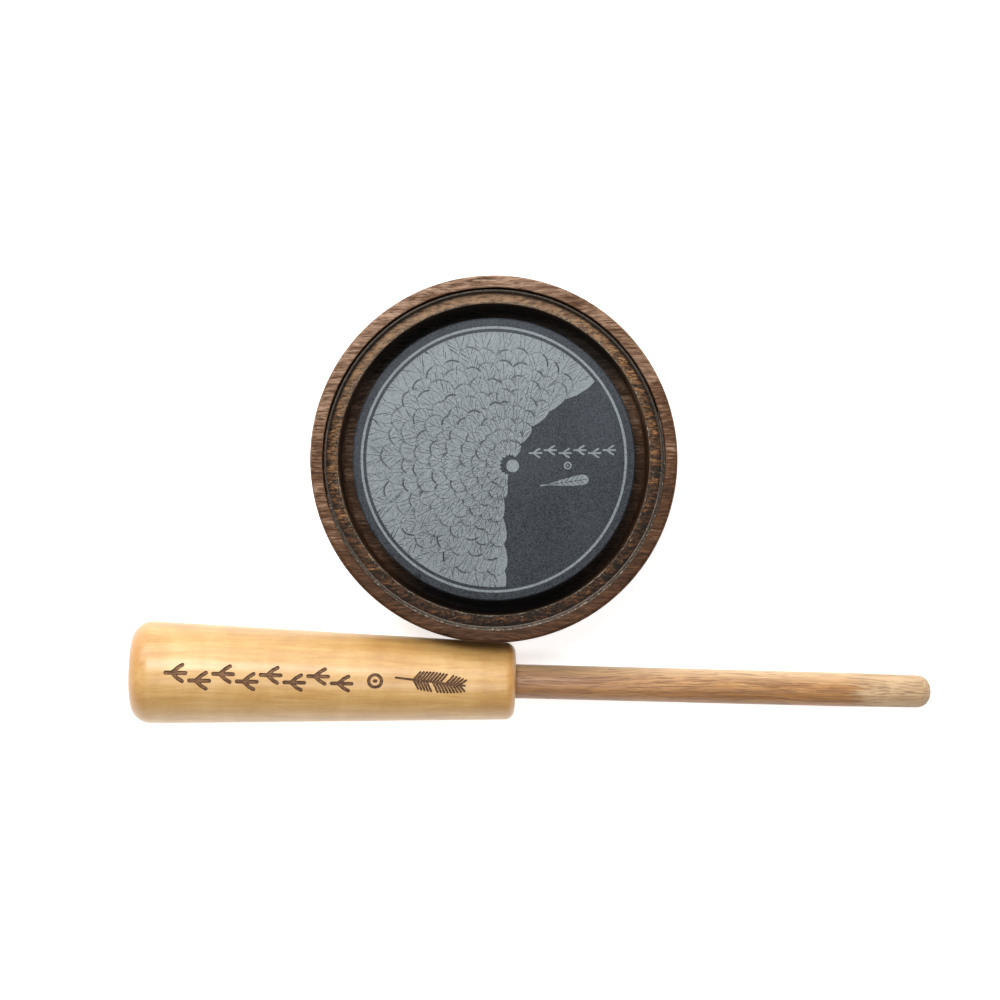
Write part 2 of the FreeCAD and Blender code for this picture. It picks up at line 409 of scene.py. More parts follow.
def walnut(name, shaded_cavity=False):
    """Oiled walnut with open pores, painted paler towards the lamps' side as sheen, and the rings of the
    turning tool.

    In the cavity it is painted darker as shade, and nearly black with painted shadow behind, in front and
    beside the glass.
    """
    tree = Tree(name)
    point = tree.millimetres()

    # The cavity's copy is painted darker all over as shade.
    def tint(*colour):
        return tuple(c * (0.80 if shaded_cavity else 1.0) for c in colour)

    tone, bands, streaks, pores = grain(tree, point, 0.24, 2.1, 3.0)
    # Painted sheen: the wood is paler towards the lamps' side and darker away from it.
    side = tree.towards(point, LIT_SIDE)
    along = weighed(tree, [(tone, 0.20), (bands, 0.30), (streaks, 0.50)])
    layers = tree.noise(tree.stretched(point, (0.014, 0.07, 1.0)), detail=4.0, rough=0.6)
    across = weighed(tree, [(tone, 0.25), (layers, 0.50), (streaks, 0.25)])
    end = tree.end_grain()
    value = tree.maths("ADD", tree.between(end, 0.0, 1.0, along, across), tree.maths("MULTIPLY", side, 0.092))
    colour = tree.ramp(tree.between(value, 0.33, 0.67), tint(0.0190, 0.0068, 0.0022),
                       tint(0.380, 0.243, 0.162), [(0.5, tint(0.093, 0.0400, 0.0165))])
    spots = tree.maths("MULTIPLY", pores, tree.between(end, 0.0, 1.0, 0.55, 0.25))
    dark = tree.mix(spots, colour, (*tint(0.010, 0.005, 0.003), 1))
    # Painted shadow: nearly black behind, in front and on the seat wall, where the lamps' light doesn't
    # reach.
    if shaded_cavity:
        behind = tree.between(tree.towards(point, BACK), 0.30, 0.58, smooth=True)
        before = tree.between(tree.towards(point, FRONT), 0.60, 0.76, smooth=True)
        beside = tree.between(tree.radius(point), SEAT_RADIUS - 1.0, SEAT_RADIUS - 0.5)
        black = tree.maths("MAXIMUM", tree.maths("MAXIMUM", behind, before), beside)
        dark = tree.mix(tree.maths("MULTIPLY", black, 0.80), dark, SHADOW_BLACK)
    relief = tree.bump(turning_rings(tree, point, 0.34), 0.006)
    relief = tree.bump(weighed(tree, [(streaks, 0.7), (pores, -0.5)]), 0.09, after=relief)
    tree.set(Base_Color=dark, Roughness=tree.between(streaks, 0.35, 0.65, 0.42, 0.31), Normal=relief,
             Specular_IOR_Level=0.08 if shaded_cavity else 0.12)
    return tree.material


def ledge_wood():
    """The ledge's bare wood, orange and torn by the tool, with black pores.

    Pale dust lies along its inner edge, painted denser and paler towards the lamps' side as sheen, and a
    paler patch of painted light lies at its back. Painted shadow darkens it beside the glass, most at its
    back.
    """
    tree = Tree("walnut_under_glue")
    point = tree.millimetres()
    _, bands, streaks, pores = grain(tree, point, 0.36, 1.15, 9.0, pore_edge=0.50)
    torn = tree.noise(tree.stretched(point, (0.7, 1.5, 1.0)), detail=4.0, rough=0.75, distortion=0.4)
    # Painted sheen: the ledge is paler towards the lamps' side.
    side = tree.towards(point, LIT_SIDE)
    value = weighed(tree, [(bands, 0.20), (streaks, 0.42), (torn, 0.38), (side, 0.080)])
    colour = tree.ramp(tree.between(value, 0.405, 0.59), (0.010, 0.005, 0.0025), (0.400, 0.205, 0.088),
                       [(0.40, (0.066, 0.026, 0.0100)), (0.72, (0.185, 0.078, 0.0290))])
    dark = tree.mix(tree.maths("MULTIPLY", pores, 0.85), colour, (0.005, 0.003, 0.002, 1))
    specks = tree.noise(tree.stretched(point, (1.7, 2.1, 1.7)), detail=3.0, rough=0.7)
    inner = tree.between(tree.radius(point), CAVITY_RADIUS + 0.2, CAVITY_RADIUS + 2.1, 1.0, 0.04)
    dust = tree.maths("MULTIPLY", tree.between(specks, 0.47, 0.63), inner)
    # The dust is also painted denser and paler towards the lamps' side, as sheen.
    dust = tree.maths("MULTIPLY", dust, tree.between(side, -0.6, 0.9, 0.12, 1.0))
    pale = tree.mix(dust, dark, (0.32, 0.235, 0.155, 1))
    # Painted light: a pale patch at the ledge's back where the lamps' light falls.
    painted_light_film = tree.maths("MULTIPLY", tree.between(tree.towards(point, LEDGE_LIT_SIDE), 0.35, 0.90, 0.0, 0.45),
                      tree.between(streaks, 0.35, 0.65, 0.45, 1.55))
    pale = tree.mix(painted_light_film, pale, (0.52, 0.335, 0.225, 1))
    # Painted shadow of the rim: dark beside the glass, most at the back.
    outer = tree.between(tree.radius(point), CAVITY_RADIUS + 2.05, CAVITY_RADIUS + 2.50, smooth=True)
    painted_shade = tree.maths("MULTIPLY", outer, tree.between(tree.towards(point, BACK), -0.1, 0.3, 0.25, 0.86))
    pale = tree.mix(painted_shade, pale, (0.008, 0.005, 0.003, 1))
    relief = tree.bump(weighed(tree, [(torn, 1.0), (streaks, 0.6)]), 0.16)
    tree.set(Base_Color=pale, Roughness=0.6, Normal=relief, Specular_IOR_Level=0.15)
    return tree.material


def maple():
    """Lacquered maple with a soft figure, amber where the end grain drank more of the finish."""
    tree = Tree("maple_lacquered")
    point = tree.striker_millimetres()
    tone, bands, streaks, pores = grain(tree, point, 0.05, 0.75, 14.0, pore_edge=0.58)
    swirled = tree.warped(point, (0.05, 0.05, 0.05), 5.0)
    curl = tree.noise(tree.stretched(swirled, (0.16, 0.05, 0.05)), detail=2.0)
    fine = tree.noise(tree.stretched(point, (0.7, 2.4, 2.4)), detail=3.0, rough=0.7)
    value = weighed(tree, [(tone, 0.26), (bands, 0.20), (streaks, 0.20), (curl, 0.20), (fine, 0.14)])
    colour = tree.ramp(tree.between(value, 0.40, 0.60), (0.440, 0.225, 0.066), (0.652, 0.412, 0.165),
                       [(0.5, (0.545, 0.312, 0.098))])
    colour = tree.mix(tree.maths("MULTIPLY", pores, 0.16), colour, (0.36, 0.165, 0.050, 1))
    wander = tree.maths("ADD", tree.axis(point, 0), tree.between(tone, 0.3, 0.7, -0.8, 0.8))
    back = tree.between(wander, 0.6, 5.8, 1.0, 0.0, smooth=True)
    front = tree.between(wander, HANDLE_LENGTH - 3.6, HANDLE_LENGTH - 0.4, smooth=True)
    ends = tree.maths("MAXIMUM", back, front)
    colour = tree.mix(tree.maths("MULTIPLY", ends, 0.66), colour, (0.46, 0.195, 0.034, 1))
    relief = tree.bump(weighed(tree, [(fine, 0.6), (pores, -0.5)]), 0.03)
    tree.set(Base_Color=colour, Roughness=tree.between(fine, 0.3, 0.7, 0.44, 0.52), Normal=relief,
             Coat_Weight=0.55, Coat_Roughness=0.30)
    return tree.material


def burnt_maple(name, dark, mid, pale):
    """Maple burnt by the beam that cut the marks, streaked along the grain."""
    tree = Tree(name)
    point = tree.striker_millimetres()
    char = tree.noise(tree.stretched(point, (0.5, 2.6, 2.6)), detail=4.0, rough=0.7)
    colour = tree.ramp(tree.between(char, 0.38, 0.62), dark, pale, [(0.5, mid)])
    tree.set(Base_Color=colour, Roughness=0.7, Normal=tree.bump(char, 0.08))
    return tree.material


def hickory():
    """The peg's wood: straight, open-pored and oiled, left raw at the playing tip, painted paler along its
    flank towards the back as sheen and darker near the handle as shade.
    """
    tree = Tree("hickory")
    point = tree.striker_millimetres()
    tone, bands, streaks, pores = grain(tree, point, 0.065, 1.5, 21.0, pore_edge=0.57)
    fine = tree.noise(tree.stretched(point, (0.35, 3.6, 3.6)), detail=3.0, rough=0.7)
    value = weighed(tree, [(tone, 0.16), (bands, 0.26), (streaks, 0.36), (fine, 0.22)])
    spread = tree.between(value, 0.39, 0.61)
    oiled = tree.ramp(spread, (0.215, 0.098, 0.036), (0.560, 0.315, 0.112), [(0.5, (0.375, 0.176, 0.058))])
    raw = tree.ramp(spread, (0.310, 0.190, 0.098), (0.620, 0.430, 0.250), [(0.5, (0.480, 0.318, 0.175))])
    edge = tree.maths("ADD", tree.axis(point, 0), tree.between(streaks, 0.25, 0.75, -5.0, 5.0))
    # Painted sheen: a paler band along the flank towards the back, where the lamps' light catches it.
    painted_sheen_flank = tree.between(weighed(tree, [(tree.axis(point, 1), 1.0), (streaks, 2.2)]), 1.8, 5.0, smooth=True)
    oiled = tree.mix(tree.maths("MULTIPLY", painted_sheen_flank, 0.62), oiled, (0.74, 0.52, 0.30, 1))
    tip = tree.between(edge, STRIKER_LENGTH - 22.5, STRIKER_LENGTH - 16.5, smooth=True)
    colour = tree.mix(tip, oiled, raw)
    # Painted shade: the peg is darker near the handle, where the pot shades it.
    painted_shade_near_handle = tree.between(tree.axis(point, 0), HANDLE_LENGTH, HANDLE_LENGTH + 55.0, 0.45, 0.0)
    colour = tree.mix(painted_shade_near_handle, colour, (0.30, 0.165, 0.098, 1))
    colour = tree.mix(tree.maths("MULTIPLY", pores, 0.50), colour, (0.130, 0.062, 0.030, 1))
    relief = tree.bump(weighed(tree, [(streaks, 0.5), (pores, -0.8)]), 0.08)
    tree.set(Base_Color=colour, Roughness=tree.between(tip, 0.0, 1.0, 0.40, 0.62), Normal=relief)
    return tree.material


def slate(name, colour, roughness, speckle):
    """Fine-grained slate, speckled by up to this share of its colour, and painted a little paler at its back,
    where the lamps' sheen falls.
    """
    tree = Tree(name)
    point = tree.millimetres()
    fine = tree.noise(tree.stretched(point, (3.2, 3.2, 3.2)), detail=3.0, rough=0.8)
    broad = tree.noise(tree.stretched(point, (0.08, 0.05, 0.08)), detail=3.0)
    # Painted sheen: paler towards the lamps' side.
    value = weighed(tree, [(fine, 0.85), (broad, 0.15), (tree.towards(point, BOARD_LIT_SIDE), 0.075)])
    low = tuple(c * (1 - speckle) for c in colour)
    high = tuple(c * (1 + speckle) for c in colour)
    tint = tree.ramp(tree.between(value, 0.35, 0.65), low, high)
    tree.set(Base_Color=tint, Roughness=roughness, Normal=tree.bump(fine, 0.05), Specular_IOR_Level=0.14)
    return tree.material


def clear_glass():
    """Clear glass that reflects and bends what is seen in it or through it.

    Light that matt or satin surfaces send or receive passes it unbent, which keeps the picture clean.
    """
    tree = Tree("glass_clear")
    tree.set(Base_Color=(0.985, 0.995, 0.99, 1), Roughness=0.0, IOR=1.5, Transmission_Weight=1.0)
    rays = tree.nodes.new("ShaderNodeLightPath")
    bent = tree.maths("MAXIMUM", rays.outputs["Is Glossy Ray"], rays.outputs["Is Transmission Ray"])
    satin = tree.maths("SUBTRACT", bent, rays.outputs["Is Singular Ray"])
    matt = tree.maths("MAXIMUM", rays.outputs["Is Shadow Ray"], rays.outputs["Is Diffuse Ray"])
    open_air = tree.add("ShaderNodeBsdfTransparent", {0: (0.98, 0.99, 0.985, 1)})
    both = tree.add("ShaderNodeMixShader",
                    {0: tree.maths("MAXIMUM", matt, satin), 1: tree.shader.outputs[0], 2: open_air})
    tree.links.new(both, tree.nodes["Material Output"].inputs["Surface"])
    return tree.material


def ground_glass():
    """The glass's edge, left grainy by the grinder: painted dark as shade on the lamps' side, where the rim
    shades it, and painted pale as light on the far side, where light through the glass falls on it.
    """
    tree = Tree("glass_ground_edge")
    point = tree.millimetres()
    grit = tree.noise(tree.stretched(point, (2.6, 2.6, 2.6)), detail=4.0, rough=0.75)
    spread = tree.between(grit, 0.36, 0.66)
    painted_shade = tree.ramp(spread, (0.014, 0.010, 0.007), (0.135, 0.104, 0.080))
    painted_light = tree.ramp(spread, (0.035, 0.022, 0.015), (0.31, 0.245, 0.190))
    # Painted shade on the lamps' side, painted light on the far side.
    side = tree.maths("ADD", tree.towards(point, LIT_SIDE + 180), tree.between(grit, 0.3, 0.7, -0.2, 0.2))
    tint = tree.mix(tree.between(side, 0.1, 0.8, smooth=True), painted_shade, painted_light)
    tree.set(Base_Color=tint, Roughness=0.5, Normal=tree.bump(grit, 0.06))
    return tree.material


def adhesive():
    """Cured glue, milky and a little glossy, with wood dust in it."""
    tree = Tree("adhesive_cured")
    point = tree.millimetres()
    cloud = tree.noise(tree.stretched(point, (1.6, 1.6, 1.6)), detail=4.0, rough=0.7)
    colour = tree.ramp(tree.between(cloud, 0.35, 0.65), (0.028, 0.016, 0.010), (0.55, 0.47, 0.38),
                       [(0.68, (0.150, 0.115, 0.084))])
    tree.set(Base_Color=colour, Roughness=0.5, Specular_IOR_Level=0.3, Normal=tree.bump(cloud, 0.05))
    return tree.material


# ---- the pot ----

def pot_body(wood, seat_wood, shaded_wood):
    """The turned body, with its foot, finger groove, rim, glass seat, cavity, socket and sound holes."""
    bevel = 0.22
    foot = rounded([(0, 0, 0), (FOOT_RADIUS, 0, 2.4), (FOOT_RADIUS, GROOVE_LOW, 0)], 10)
    groove = arc_through((FOOT_RADIUS, GROOVE_LOW), GROOVE_MIDDLE, (POT_RADIUS, GROOVE_HIGH), 26)
    rim = rounded([(POT_RADIUS, GROOVE_HIGH, 0), (POT_RADIUS, POT_HEIGHT, 0.9),
                   (SEAT_RADIUS + bevel, POT_HEIGHT, 0.1), (SEAT_RADIUS, POT_HEIGHT - bevel, 0.1),
                   (SEAT_RADIUS, LEDGE, 0.15), (CAVITY_RADIUS + 0.2, LEDGE, 0.12),
                   (CAVITY_RADIUS, LEDGE - 0.2, 0.12), (CAVITY_RADIUS, CAVITY_FLOOR, 1.0),
                   (SOCKET_RADIUS + 0.1, CAVITY_FLOOR, 0.1), (SOCKET_RADIUS, SOCKET_FLOOR, 0.1),
                   (0, SOCKET_FLOOR, 0)], 5)
    bm = bmesh.new()
    lathe_faces(bm, divided(foot + groove + rim[1:], 1.6), POT_SEGMENTS, about_z)
    piece = as_piece("turned_pot", bm, [wood, seat_wood, shaded_wood])
    drill(piece)
    for face in piece.data.polygons:
        height, radius = face.center.z / MM, face.center.xy.length / MM
        on_ledge = abs(height - LEDGE) < 0.12 and CAVITY_RADIUS < radius < SEAT_RADIUS
        shaded_cavity = 0.7 < height < LEDGE - 0.15 and radius < CAVITY_RADIUS + 0.1
        beside_glass = LEDGE + 0.1 < height < POT_HEIGHT - 0.25 and radius < SEAT_RADIUS + 0.1
        # The cavity and the seat wall beside the glass take the walnut's copy painted with shade.
        face.material_index = 1 if on_ledge else 2 * int(shaded_cavity or beside_glass)
    check_box(piece, "pot_body")
    mounted(piece, "pot", "pot_body")


def drill(piece):
    """Cuts the sound holes through the pot's floor, with their eased lower edges."""
    bm = bmesh.new()
    bit = [(0, -1), (HOLE_RADIUS + 1.5, -1), (HOLE_RADIUS, 0.6), (HOLE_RADIUS, 6.5), (0, 6.5)]
    for i in range(HOLES):
        x, y, _ = about_z(HOLE_CIRCLE, 0, TAU * (i + 0.5) / HOLES)
        lathe_faces(bm, bit, HOLE_SEGMENTS,
                    lambda r, z, a, x=x, y=y: (x + r * math.cos(a), y + r * math.sin(a), z))
    tool = as_piece("drill", bm, [])
    cut = piece.modifiers.new("holes", "BOOLEAN")
    cut.object = tool
    cut.solver = "EXACT"
    apply_modifiers(piece)
    shade(piece.data)
    bpy.data.objects.remove(tool)
    with_true_flats(piece)


def playing_surface(clear, ground):
    """The glass disc: polished faces, and a ground edge with a narrow arris above and below."""
    arris = 0.34
    profile = rounded([(0, GLASS_BOTTOM, 0), (GLASS_EDGE - arris, GLASS_BOTTOM, 0.06),
                       (GLASS_EDGE, GLASS_BOTTOM + arris, 0.12), (GLASS_EDGE, GLASS_TOP - arris, 0.12),
                       (GLASS_EDGE - arris, GLASS_TOP, 0.06), (0, GLASS_TOP, 0)], 4)
    bm = bmesh.new()
    lathe_faces(bm, profile, POT_SEGMENTS, about_z)
    for face in bm.faces:
        radius = face.calc_center_median().xy.length / MM
        face.material_index = int(radius > GLASS_EDGE - arris - 0.04)
    piece = with_true_flats(as_piece("glass_disc", bm, [clear, ground], sharp=25))
    check_box(piece, "playing_surface")
    mounted(piece, "pot", "playing_surface")


def glue_bead(glue):
    """The glue that holds the glass: a broken, uneven bead along the ledge's inner edge, with stray drops."""
    random.seed(11)
    bm = bmesh.new()
    rows = []
    for k in range(BEAD_SECTIONS):
        a = TAU * k / BEAD_SECTIONS
        rough = noise.noise(Vector((math.cos(a) * 14, math.sin(a) * 14, 2.0)))
        fine = noise.noise(Vector((math.cos(a) * 60, math.sin(a) * 60, 5.0)))
        width = max(0.02, 0.20 + 0.40 * rough + 0.30 * fine)
        inner = CAVITY_RADIUS + 0.12 + 0.08 * fine
        top = LEDGE + min(0.19, 0.05 + 0.4 * width)
        section = [(inner, LEDGE - 0.02), (inner + 0.1 * width, top), (inner + 0.6 * width, top),
                   (inner + width, LEDGE - 0.02)]
        rows.append([bm.verts.new(Vector(about_z(r, z, a)) * MM) for r, z in section])
    join_sections(bm, rows + rows[:1])
    for _ in range(GLUE_DROPS):
        drop(bm)
    squeezed_out(bm)
    mounted(as_piece("glue_bead", bm, [glue]), "pot", "surface_adhesive_ring")


def drop(bm):
    """One flat, uneven drop of glue on the ledge."""
    a = random.uniform(0, TAU)
    r = CAVITY_RADIUS + 0.4 + 2.6 * random.random() ** 2.2
    size = random.uniform(0.04, 0.13)
    at = Matrix.Translation(Vector(about_z(r, LEDGE, a)) * MM)
    shape = at @ Matrix.Rotation(random.uniform(0, TAU), 4, "Z")
    shape = shape @ Matrix.Diagonal((size * random.uniform(1, 2.2) * MM, size * MM, min(0.18, size) * MM, 1))
    bmesh.ops.create_icosphere(bm, subdivisions=2, radius=1.0, matrix=shape)


def squeezed_out(bm):
    """Glue that rose in the gap round the glass.

    It is highest opposite the side where the walnut's sheen is painted, and dies out a quarter of the way
    round on either hand.
    """
    rows = []
    for k in range(GAP_SECTIONS + 1):
        turn = 2 * k / GAP_SECTIONS - 1
        a = math.radians(LIT_SIDE + 180 + GLUE_REACH * turn)
        rough = noise.noise(Vector((math.cos(a) * 40, math.sin(a) * 40, 9.0)))
        top = GLASS_BOTTOM + 0.2 + (2.4 + 0.25 * rough) * (1 - turn * turn)
        section = [(GLASS_EDGE - 0.02, top - 0.35), (GLASS_EDGE - 0.02, top - 0.05),
                   (SEAT_RADIUS + 0.02, top + 0.05), (SEAT_RADIUS + 0.02, top - 0.35)]
        rows.append([bm.verts.new(Vector(about_z(r, z, a)) * MM) for r, z in section])
    join_sections(bm, rows)
    bm.faces.new(rows[0])
    bm.faces.new(rows[-1])


# ---- flat artwork, cut into one flat mesh ----

def strip(points, width):
    """The outline of a stroke with round ends along points."""
    points = [Vector(p) for p in points]
    left, right = [], []
    for i, p in enumerate(points):
        on = points[min(i + 1, len(points) - 1)] - points[max(i - 1, 0)]
        side = Vector((-on.y, on.x)).normalized() * width / 2
        left.append(p + side)
        right.append(p - side)
    turns = [Matrix.Rotation(math.pi * k / 6, 2) for k in range(1, 6)]
    cap = [(left[-1] - points[-1]) @ turn + points[-1] for turn in turns]
    tail = [(right[0] - points[0]) @ turn + points[0] for turn in turns]
    return left + cap + right[::-1] + tail


def moved(points, at, angle):
    """Points turned and moved."""
    c, s = math.cos(angle), math.sin(angle)
    return [Vector((at[0] + x * c - y * s, at[1] + x * s + y * c)) for x, y in points]


def circle(at, radius, count):
    """Points round a circle."""
    return [Vector((at[0] + radius * math.cos(TAU * k / count), at[1] + radius * math.sin(TAU * k / count)))
            for k in range(count)]


def overlay(outlines, edges=()):
    """Cuts all outlines into one flat mesh: its points, its faces, and the outlines that cover each face."""
    points, faces = [], []
    for outline in outlines:
        first = len(points)
        area = sum(p[0] * q[1] - q[0] * p[1] for p, q in zip(outline, outline[1:] + outline[:1]))
        points += [Vector(p) for p in outline]
        numbers = list(range(first, len(points)))
        faces.append(numbers if area > 0 else numbers[::-1])
    result = delaunay_2d_cdt(points, list(edges), faces, 0, 1e-5, True)
    return result[0], result[2], [set(ids) for ids in result[5]]


def petal(length, width, steps=8):
    """A feather's outline, from its narrow root at the origin to its round tip, along the first axis."""
    tip = min(width * 0.62, length * 0.5)
    body = length - tip
    side = [(0, width * 0.06), (body * 0.35, width * 0.30), (body * 0.75, width * 0.46)]
    for k in range(steps + 1):
        a = math.pi / 2 * k / steps
        side.append((body + tip * math.sin(a), width / 2 * math.cos(a)))
    return side + [(x, -y) for x, y in side[-2::-1]]


def tip_line(length, width, inset, low, high):
    """Points that follow a petal's round tip from this far inside, between two angles in degrees."""
    tip = min(width * 0.62, length * 0.5)
    angles = [math.radians(low + (high - low) * k / 7) for k in range(8)]
    return [(length - tip + (tip - inset) * math.cos(a), (width / 2 - inset * 0.8) * math.sin(a))
            for a in angles]


def feather_marks(length, width, rng):
    """Dark strokes on a feather: its shaft, fine barbs on both sides, and a line that follows its tip."""
    marks = [strip([(length * 0.30, 0), (length * 0.90, 0)], 0.11)]
    x = length * 0.34
    while x < length * 0.86:
        for side in (-1, 1):
            if rng.random() < 0.7:
                root = width * rng.uniform(0.04, 0.20)
                reach = width * rng.uniform(0.10, 0.26)
                barb = [(x, side * root), (x + reach * 0.8, side * (root + reach * 0.55)),
                        (x + reach * 1.4, side * (root + reach))]
                marks.append(strip(barb, rng.uniform(0.06, 0.16)))
        x += rng.uniform(0.6, 1.0)
    low = rng.uniform(-80, 0)
    line = tip_line(length, width, 0.30, low, low + rng.uniform(40, 85))
    marks.append(strip(line, rng.uniform(0.12, 0.30)))
    return marks


def spread_of_feathers():
    """A generic spread of overlapping feathers over the board's left side: (outline, level, is it pale)."""
    rng = random.Random(5)
    heart = Vector((4.6, -1.6))
    shapes = []
    level = 0
    rows = [(1.00, 21, 12.0), (0.87, 24, 9.0), (0.765, 22, 8.0), (0.66, 21, 7.5), (0.56, 19, 7.0),
            (0.46, 17, 6.5), (0.365, 15, 5.5), (0.275, 12, 5.0), (0.19, 10, 4.0)]
    for row, (share, count, length) in enumerate(rows):
        low, high = math.radians(50 + 3 * row), math.radians(266 - 2 * row)
        order = sorted(range(count), key=lambda i: -abs(i - count * 0.45))
        for i in order:
            angle = low + (high - low) * (i + 0.5 * (row % 2) + 0.25) / count + rng.uniform(-0.015, 0.015)
            way = Vector((math.cos(angle), math.sin(angle)))
            along = heart.dot(way)
            to_edge = -along + math.sqrt(along * along - heart.length_squared + FEATHER_REACH ** 2)
            tip = share * to_edge * (1.07 if row == 0 else rng.uniform(0.96, 1.03))
            root = max(0.3, tip - length)
            width = (high - low) / count * tip * rng.uniform(1.22, 1.36)
            size = tip - root
            at = heart + way * root
            angle += rng.uniform(-0.07, 0.07)
            shapes.append((moved(petal(size, width), at, angle), level, False))
            inner = [(x + 0.05, y) for x, y in petal(size - 0.15, width - 0.20)]
            shapes.append((moved(inner, at, angle), level + 1, True))
            for mark in feather_marks(size, width, rng):
                shapes.append((moved(mark, at, angle), level + 2, False))
            level += 3
    shapes.append((circle(heart, 1.75, 40), level, False))
    shapes.append((circle(heart, 1.55, 40), level + 1, True))
    return shapes


def bird_track(size):
    """A generic three-toed track: the strokes' middle lines, pointing along the second axis."""
    toes = [[(0, -0.10), (0, 0.58)], [(0, -0.08), (-0.24, 0.20), (-0.36, 0.42)],
            [(0, -0.08), (0.24, 0.20), (0.36, 0.42)], [(0, -0.05), (0, -0.40)]]
    return [[(x * size, y * size) for x, y in toe] for toe in toes]


def board_marks():
    """Small generic marks on the board's bare side: a row of tracks, a ring and a single feather."""
    top = 5000          # a level over every feather
    shapes = []
    for k in range(6):
        at = (9.9 + 3.6 * k, 1.9 + (0.35 if k % 2 else -0.35))
        for toe in bird_track(2.9):
            shapes.append((moved(strip(toe, 0.44), at, math.radians(-90)), top, True))
    for step, (radius, count) in enumerate([(0.95, 32), (0.60, 32), (0.25, 16)]):
        shapes.append((circle((18.0, -1.5), radius, count), top + step, step != 1))
    at, lean = (13.6, -6.1), math.radians(8)
    shapes.append((moved(petal(9.6, 2.5), at, lean), top + 1, True))
    shapes.append((moved(strip([(-1.2, 0), (9.0, 0)], 0.15), at, lean), top + 2, False))
    shapes.append((moved(strip([(-2.2, 0), (0.4, 0)], 0.34), at, lean), top, True))
    for k in range(6):
        for side in (-1, 1):
            cut = strip([(1.7 + 1.15 * k, 0.12 * side), (2.8 + 1.15 * k, 1.1 * side)], 0.12)
            shapes.append((moved(cut, at, lean), top + 2, False))
    return shapes


def sound_board(stone, etched):
    """The slate disc, its top engraved with a ring, a spread of feathers and a few small marks."""
    edge = 0.3
    radii = [BOARD_RADIUS - edge, RING_OUTSIDE, RING_INSIDE, FIELD_RADIUS]
    land, ring, inside_ring, field = range(4)
    shapes = [(circle((0, 0), radius, BOARD_SEGMENTS), -1, False) for radius in radii]
    shapes += spread_of_feathers() + board_marks()
    points, faces, covers = overlay([outline for outline, level, pale in shapes])
    bm = bmesh.new()
    verts = [bm.verts.new((p.x * MM, p.y * MM, BOARD_TOP * MM)) for p in points]
    for face, cover in zip(faces, covers):
        if land not in cover:
            continue
        if field in cover:
            pale = shapes[max(cover, key=lambda i: shapes[i][1])][2]
        else:
            pale = ring in cover and inside_ring not in cover
        made = bm.faces.new([verts[i] for i in face])
        made.material_index = int(pale)
    side = rounded([(BOARD_RADIUS - edge, BOARD_TOP, 0), (BOARD_RADIUS, BOARD_TOP - edge, 0.12),
                    (BOARD_RADIUS, BOARD_BOTTOM, 0.3), (0, BOARD_BOTTOM, 0)], 3)
    lathe_faces(bm, side, BOARD_SEGMENTS, about_z)
    bmesh.ops.remove_doubles(bm, verts=bm.verts, dist=SMALLEST * MM)
    bmesh.ops.delete(bm, geom=[v for v in bm.verts if not v.link_faces], context="VERTS")
    piece = as_piece("slate_board", bm, [stone, etched])
    check_box(piece, "sound_board")
    mounted(piece, "pot", "sound_board")


# ---- the striker ----

def striker_place():
    """The striker's placement: tipped by its taper, turned by its yaw, its handle just clear of the rim."""
    tip = math.atan(TAPER)
    beside = -STRIKER_BACK_X - POT_RADIUS * math.sin(STRIKER_YAW + tip)
    there = HANDLE_BACK_RADIUS - TAPER * beside
    y = -(POT_RADIUS + there + STRIKER_GAP) / math.cos(STRIKER_YAW)
    y += STRIKER_BACK_X * math.tan(STRIKER_YAW)
    z = HANDLE_BACK_RADIUS * math.cos(tip)
    at = Matrix.Translation(Vector((STRIKER_BACK_X, y, z)) * MM)
    return at @ Matrix.Rotation(STRIKER_YAW, 4, "Z") @ Matrix.Rotation(tip, 4, "Y")


def handle_marks():
    """The burnt-in row: tracks, a ring with a dot and a feather. Each is (outer outline, inner outline)."""
    marks = []

    def stroke(line, width, at=(0, 0), angle=0.0):
        marks.append(tuple(moved(strip(line, w), at, angle) for w in (width, width - 2 * MARK_WALL)))

    for k in range(8):
        at = (11.4 + 5.7 * k, 0.8 if k % 2 else -0.8)
        for toe in bird_track(4.9):
            stroke(toe, 0.92, at, math.radians(-90))
    centre, radius, arcs = 59.8, 1.55, 24
    for k in range(arcs):
        ring = [(centre + radius * math.cos(a), radius * math.sin(a))
                for a in (TAU * k / arcs, TAU * (k + 0.5) / arcs, TAU * (k + 1) / arcs)]
        stroke(ring, 0.80)
    stroke([(centre - 0.15, 0), (centre + 0.15, 0)], 0.85)
    stem, lean, barbs = (64.8, -1.0), math.radians(6), 15
    stroke([(0, 0), (16.8, 0)], 0.55, stem, lean)
    for k in range(barbs):
        x = 4.2 + 0.80 * k
        reach = 2.5 * math.sqrt(max(0.05, 1 - ((k - 5.2) / (barbs - 4)) ** 2))
        for side in (-1, 1):
            if (k, side) not in ((5, 1), (9, -1)):
                stroke([(x, 0.0), (x + 0.9, side * reach * 0.55), (x + 1.5, side * reach)], 0.56, stem, lean)
    return marks


